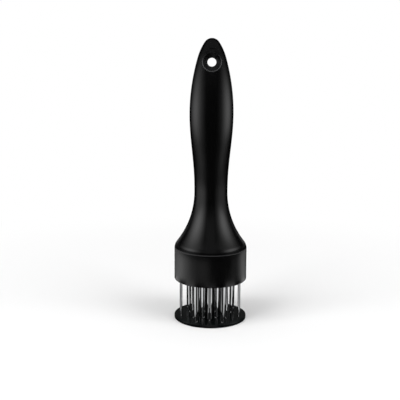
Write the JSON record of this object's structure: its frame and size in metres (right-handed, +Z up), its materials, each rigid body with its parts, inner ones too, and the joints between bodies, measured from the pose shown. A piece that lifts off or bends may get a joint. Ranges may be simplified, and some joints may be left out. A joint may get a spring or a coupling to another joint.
{
  "type": "blade meat tenderizer",
  "caption": "Hand-held round meat tenderizer: hollow tapered handle with a hanging hole, a head of upright spear blades and a spring-loaded guard disc that slides up the blades.",
  "frame": {"origin": "middle of the guard disc's underside, which the tool stands on", "axes": "+Z up the handle, +Y along the hanging hole, +X to the right as seen from the front"},
  "size_m": [0.052, 0.052, 0.2],
  "materials": {
    "handle_plastic": "satin black moulded plastic, very fine grain",
    "collar_plastic": "satin black moulded plastic",
    "holder_plastic": "plain black moulded plastic",
    "disc_plastic": "glossy black moulded plastic",
    "stem_plastic": "smooth black moulded plastic",
    "blade_steel": "ground and polished stainless steel",
    "clamp_steel": "plain stamped steel",
    "spring_steel": "drawn spring wire",
    "fastener_steel": "plated steel"
  },
  "bodies": {
    "head": {"handle": "handle_plastic", "head_collar": "collar_plastic", "blade_holder": "holder_plastic", "blade_clamp_plate": "clamp_steel", "blade_01": "blade_steel", "blade_02": "blade_steel", "blade_03": "blade_steel", "blade_04": "blade_steel", "blade_05": "blade_steel", "blade_06": "blade_steel", "blade_07": "blade_steel", "blade_08": "blade_steel", "blade_09": "blade_steel", "blade_10": "blade_steel", "blade_11": "blade_steel", "blade_12": "blade_steel", "blade_13": "blade_steel", "blade_14": "blade_steel", "blade_15": "blade_steel", "blade_16": "blade_steel", "blade_17": "blade_steel", "blade_18": "blade_steel", "blade_19": "blade_steel", "blade_20": "blade_steel", "blade_21": "blade_steel", "spring_seat": "holder_plastic", "return_spring": "spring_steel"},
    "guard": {"guard_disc": "disc_plastic", "guide_stem": "stem_plastic", "stop_washer": "fastener_steel", "stop_screw": "fastener_steel"}
  },
  "joints": [
    {"name": "guard_slide", "type": "slide", "parent": "head", "child": "guard", "axis": [0, 0, 1], "range_m": [0, 0.026], "stiffness_N_per_m": 560, "springref_m": -0.015, "deforming": ["return_spring"]}
  ]
}
